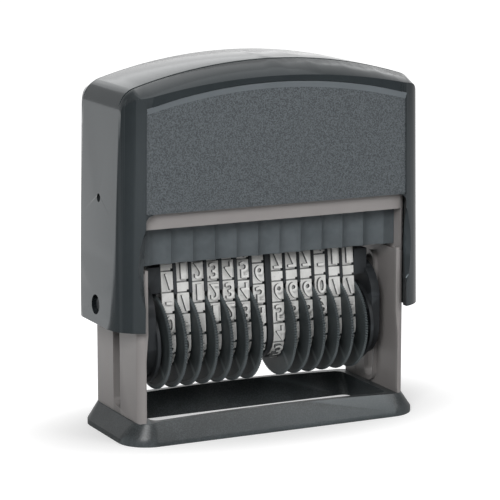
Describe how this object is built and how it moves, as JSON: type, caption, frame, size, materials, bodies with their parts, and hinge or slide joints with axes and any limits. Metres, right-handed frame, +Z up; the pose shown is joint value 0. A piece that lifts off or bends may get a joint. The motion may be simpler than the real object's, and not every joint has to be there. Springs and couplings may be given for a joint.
{
  "type": "numbering stamp",
  "caption": "Self-inking numbering stamp with an arched cover that slides down, a slotted frame, a fluted ink cartridge and a flipping carriage of thumb-set digit bands.",
  "frame": {"origin": "centre of the foot's underside", "axes": "+Z up, -Y the front with the matt panel, +X to the right seen from the front"},
  "size_m": [0.0778, 0.0308, 0.0849],
  "materials": {
    "gloss_black": "gloss",
    "matt_panel": "fine grained",
    "black_plastic": "satin",
    "cartridge_plastic": "satin",
    "wheel_plastic": "satin",
    "grey_plastic": "satin",
    "band_rubber": "matt",
    "felt": "inked felt",
    "spring_steel": "drawn wire"
  },
  "bodies": {
    "frame": {"foot": "black_plastic", "frame": "grey_plastic", "ink_cartridge": "cartridge_plastic", "ink_pad": "felt"},
    "cover": {"cover": "gloss_black", "panel_front": "matt_panel", "panel_rear": "matt_panel", "spring_left": "spring_steel", "spring_right": "spring_steel"},
    "carriage": {"carriage_end_left": "black_plastic", "carriage_end_right": "black_plastic", "print_shoe": "black_plastic", "centre_web": "black_plastic", "wheel_shaft": "spring_steel", "clip_left": "spring_steel", "clip_right": "spring_steel", "band_01": "band_rubber", "band_02": "band_rubber", "band_03": "band_rubber", "band_04": "band_rubber", "band_05": "band_rubber", "band_06": "band_rubber", "band_07": "band_rubber", "band_08": "band_rubber", "band_09": "band_rubber", "band_10": "band_rubber", "band_11": "band_rubber", "band_12": "band_rubber", "band_13": "band_rubber"},
    "thumb_wheel_01": {"wheel_01": "wheel_plastic"},
    "thumb_wheel_02": {"wheel_02": "wheel_plastic"},
    "thumb_wheel_03": {"wheel_03": "wheel_plastic"},
    "thumb_wheel_04": {"wheel_04": "wheel_plastic"},
    "thumb_wheel_05": {"wheel_05": "wheel_plastic"},
    "thumb_wheel_06": {"wheel_06": "wheel_plastic"},
    "thumb_wheel_07": {"wheel_07": "wheel_plastic"},
    "thumb_wheel_08": {"wheel_08": "wheel_plastic"},
    "thumb_wheel_09": {"wheel_09": "wheel_plastic"},
    "thumb_wheel_10": {"wheel_10": "wheel_plastic"},
    "thumb_wheel_11": {"wheel_11": "wheel_plastic"},
    "thumb_wheel_12": {"wheel_12": "wheel_plastic"},
    "thumb_wheel_13": {"wheel_13": "wheel_plastic"}
  },
  "joints": [
    {"name": "cover_slide", "type": "slide", "parent": "frame", "child": "cover", "axis": [0, 0, -1], "range_m": [0, 0.0201], "stiffness_N_per_m": 600, "springref_m": -0.01, "deforming": ["spring_left", "spring_right"]},
    {"name": "carriage_flip", "type": "hinge", "parent": "cover", "child": "carriage", "pos_m": [0, 0, 0.0303], "axis": [-1, 0, 0], "range_deg": [0, 180.5]},
    {"name": "wheel_01_turn", "type": "hinge", "parent": "carriage", "child": "thumb_wheel_01", "pos_m": [0, 0, 0.0206], "axis": [1, 0, 0], "continuous": true},
    {"name": "wheel_02_turn", "type": "hinge", "parent": "carriage", "child": "thumb_wheel_02", "pos_m": [0, 0, 0.0206], "axis": [1, 0, 0], "continuous": true},
    {"name": "wheel_03_turn", "type": "hinge", "parent": "carriage", "child": "thumb_wheel_03", "pos_m": [0, 0, 0.0206], "axis": [1, 0, 0], "continuous": true},
    {"name": "wheel_04_turn", "type": "hinge", "parent": "carriage", "child": "thumb_wheel_04", "pos_m": [0, 0, 0.0206], "axis": [1, 0, 0], "continuous": true},
    {"name": "wheel_05_turn", "type": "hinge", "parent": "carriage", "child": "thumb_wheel_05", "pos_m": [0, 0, 0.0206], "axis": [1, 0, 0], "continuous": true},
    {"name": "wheel_06_turn", "type": "hinge", "parent": "carriage", "child": "thumb_wheel_06", "pos_m": [0, 0, 0.0206], "axis": [1, 0, 0], "continuous": true},
    {"name": "wheel_07_turn", "type": "hinge", "parent": "carriage", "child": "thumb_wheel_07", "pos_m": [0, 0, 0.0206], "axis": [1, 0, 0], "continuous": true},
    {"name": "wheel_08_turn", "type": "hinge", "parent": "carriage", "child": "thumb_wheel_08", "pos_m": [0, 0, 0.0206], "axis": [1, 0, 0], "continuous": true},
    {"name": "wheel_09_turn", "type": "hinge", "parent": "carriage", "child": "thumb_wheel_09", "pos_m": [0, 0, 0.0206], "axis": [1, 0, 0], "continuous": true},
    {"name": "wheel_10_turn", "type": "hinge", "parent": "carriage", "child": "thumb_wheel_10", "pos_m": [0, 0, 0.0206], "axis": [1, 0, 0], "continuous": true},
    {"name": "wheel_11_turn", "type": "hinge", "parent": "carriage", "child": "thumb_wheel_11", "pos_m": [0, 0, 0.0206], "axis": [1, 0, 0], "continuous": true},
    {"name": "wheel_12_turn", "type": "hinge", "parent": "carriage", "child": "thumb_wheel_12", "pos_m": [0, 0, 0.0206], "axis": [1, 0, 0], "continuous": true},
    {"name": "wheel_13_turn", "type": "hinge", "parent": "carriage", "child": "thumb_wheel_13", "pos_m": [0, 0, 0.0206], "axis": [1, 0, 0], "continuous": true}
  ],
  "couplings": [
    {"joint": "carriage_flip", "follows": "cover_slide", "rad_per_m": 156.3}
  ]
}
